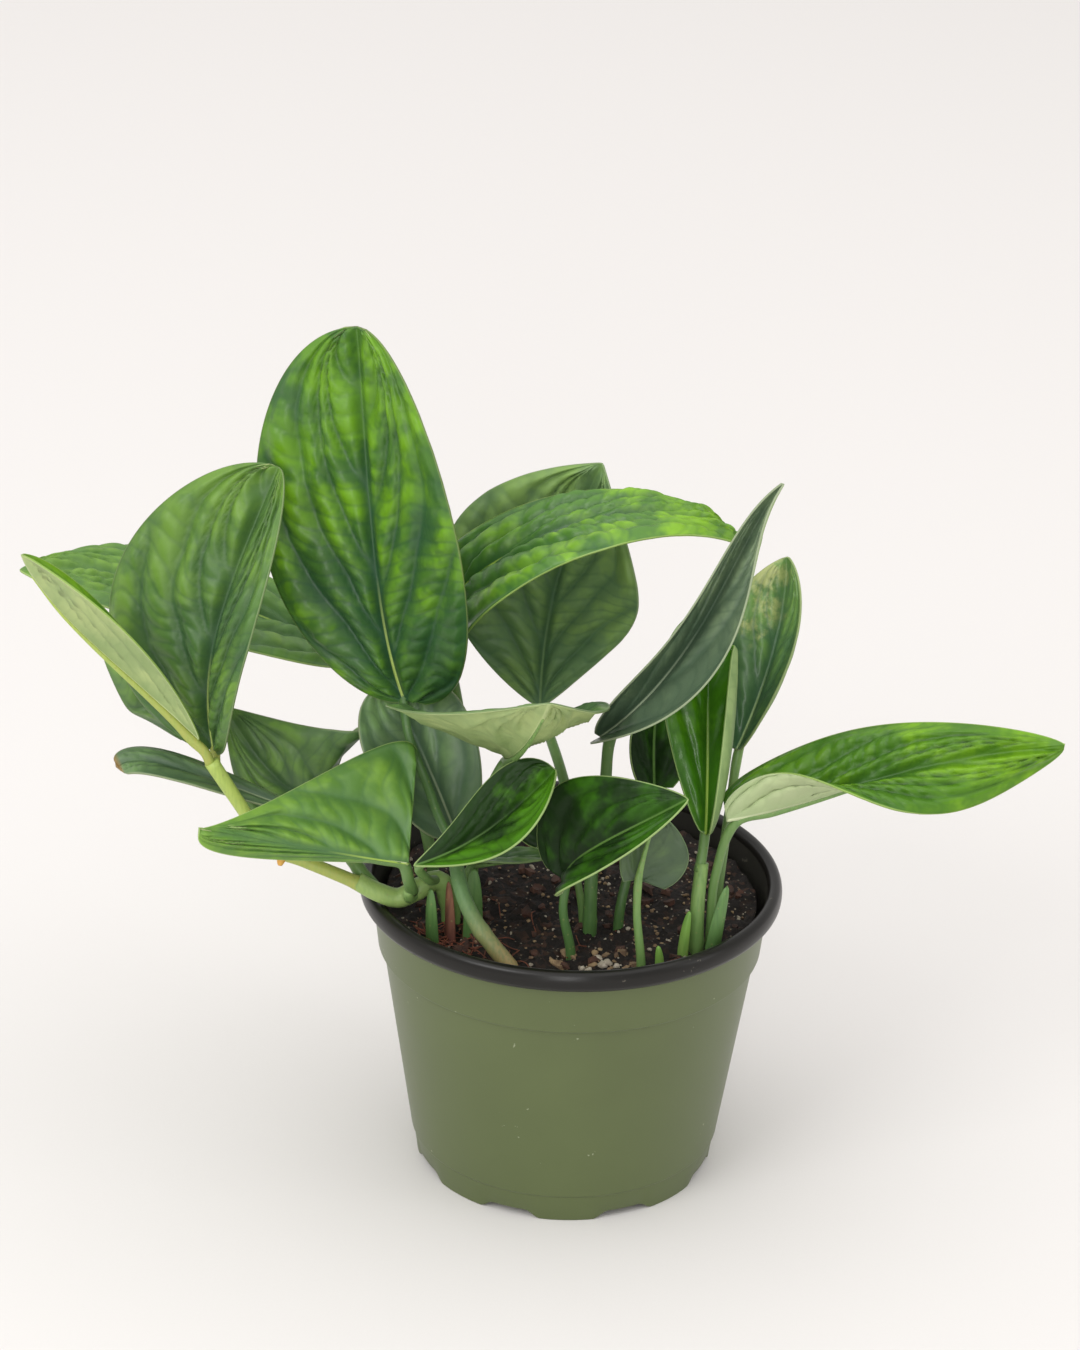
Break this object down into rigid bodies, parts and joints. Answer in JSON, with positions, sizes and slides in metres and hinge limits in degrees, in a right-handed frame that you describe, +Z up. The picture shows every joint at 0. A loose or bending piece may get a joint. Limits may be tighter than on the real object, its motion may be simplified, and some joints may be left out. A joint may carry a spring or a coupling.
{
  "type": "potted foliage plant",
  "caption": "Young quilted-leaf climbing houseplant rooted in a round tapered plastic nursery pot with a rolled rim.",
  "frame": {"origin": "middle of the plant's spread, on the plane the pot stands on; the pot's axis is 15.5 mm from it to +X and 1.4 mm to +Y", "axes": "+Z up along the pot's axis; -Y towards the front, where the smallest leaves stand near the rim; +X to the viewer's right, along the plant's widest spread"},
  "size_m": [0.371, 0.1578, 0.32],
  "materials": {
    "pot": "satin moulded plastic, olive green outside, near-black rim and inside",
    "soil": "loose dark potting mix with white perlite and bark",
    "leaf": "semi-gloss quilted leaf, paler underneath",
    "stem": "smooth green stem",
    "sheath": "thin sheath, green to dry brown"
  },
  "bodies": {
    "root": {"pot": "pot", "soil": "soil", "leaf_crown": "leaf", "leaf_left": "leaf", "leaf_far_left": "leaf", "leaf_left_level": "leaf", "leaf_left_small": "leaf", "leaf_centre_back": "leaf", "leaf_arching": "leaf", "leaf_cupped": "leaf", "leaf_long": "leaf", "leaf_back_right": "leaf", "leaf_glossy": "leaf", "leaf_far_right": "leaf", "leaf_front_small": "leaf", "leaf_dark_front": "leaf", "leaf_big_front": "leaf", "leaf_middle": "leaf", "leaf_left_low": "leaf", "leaf_twisted": "leaf", "leaf_round_small": "leaf", "leaf_dark_right": "leaf", "leaf_low": "leaf", "leaf_inner": "leaf", "stem_left": "stem", "stem_middle": "stem", "stem_centre": "stem", "stem_right": "stem", "sheath_right": "sheath", "sheath_yellow": "sheath", "sheath_dry": "sheath", "sheath_left": "sheath", "sheath_middle": "sheath", "bud_front": "sheath"}
  },
  "joints": []
}
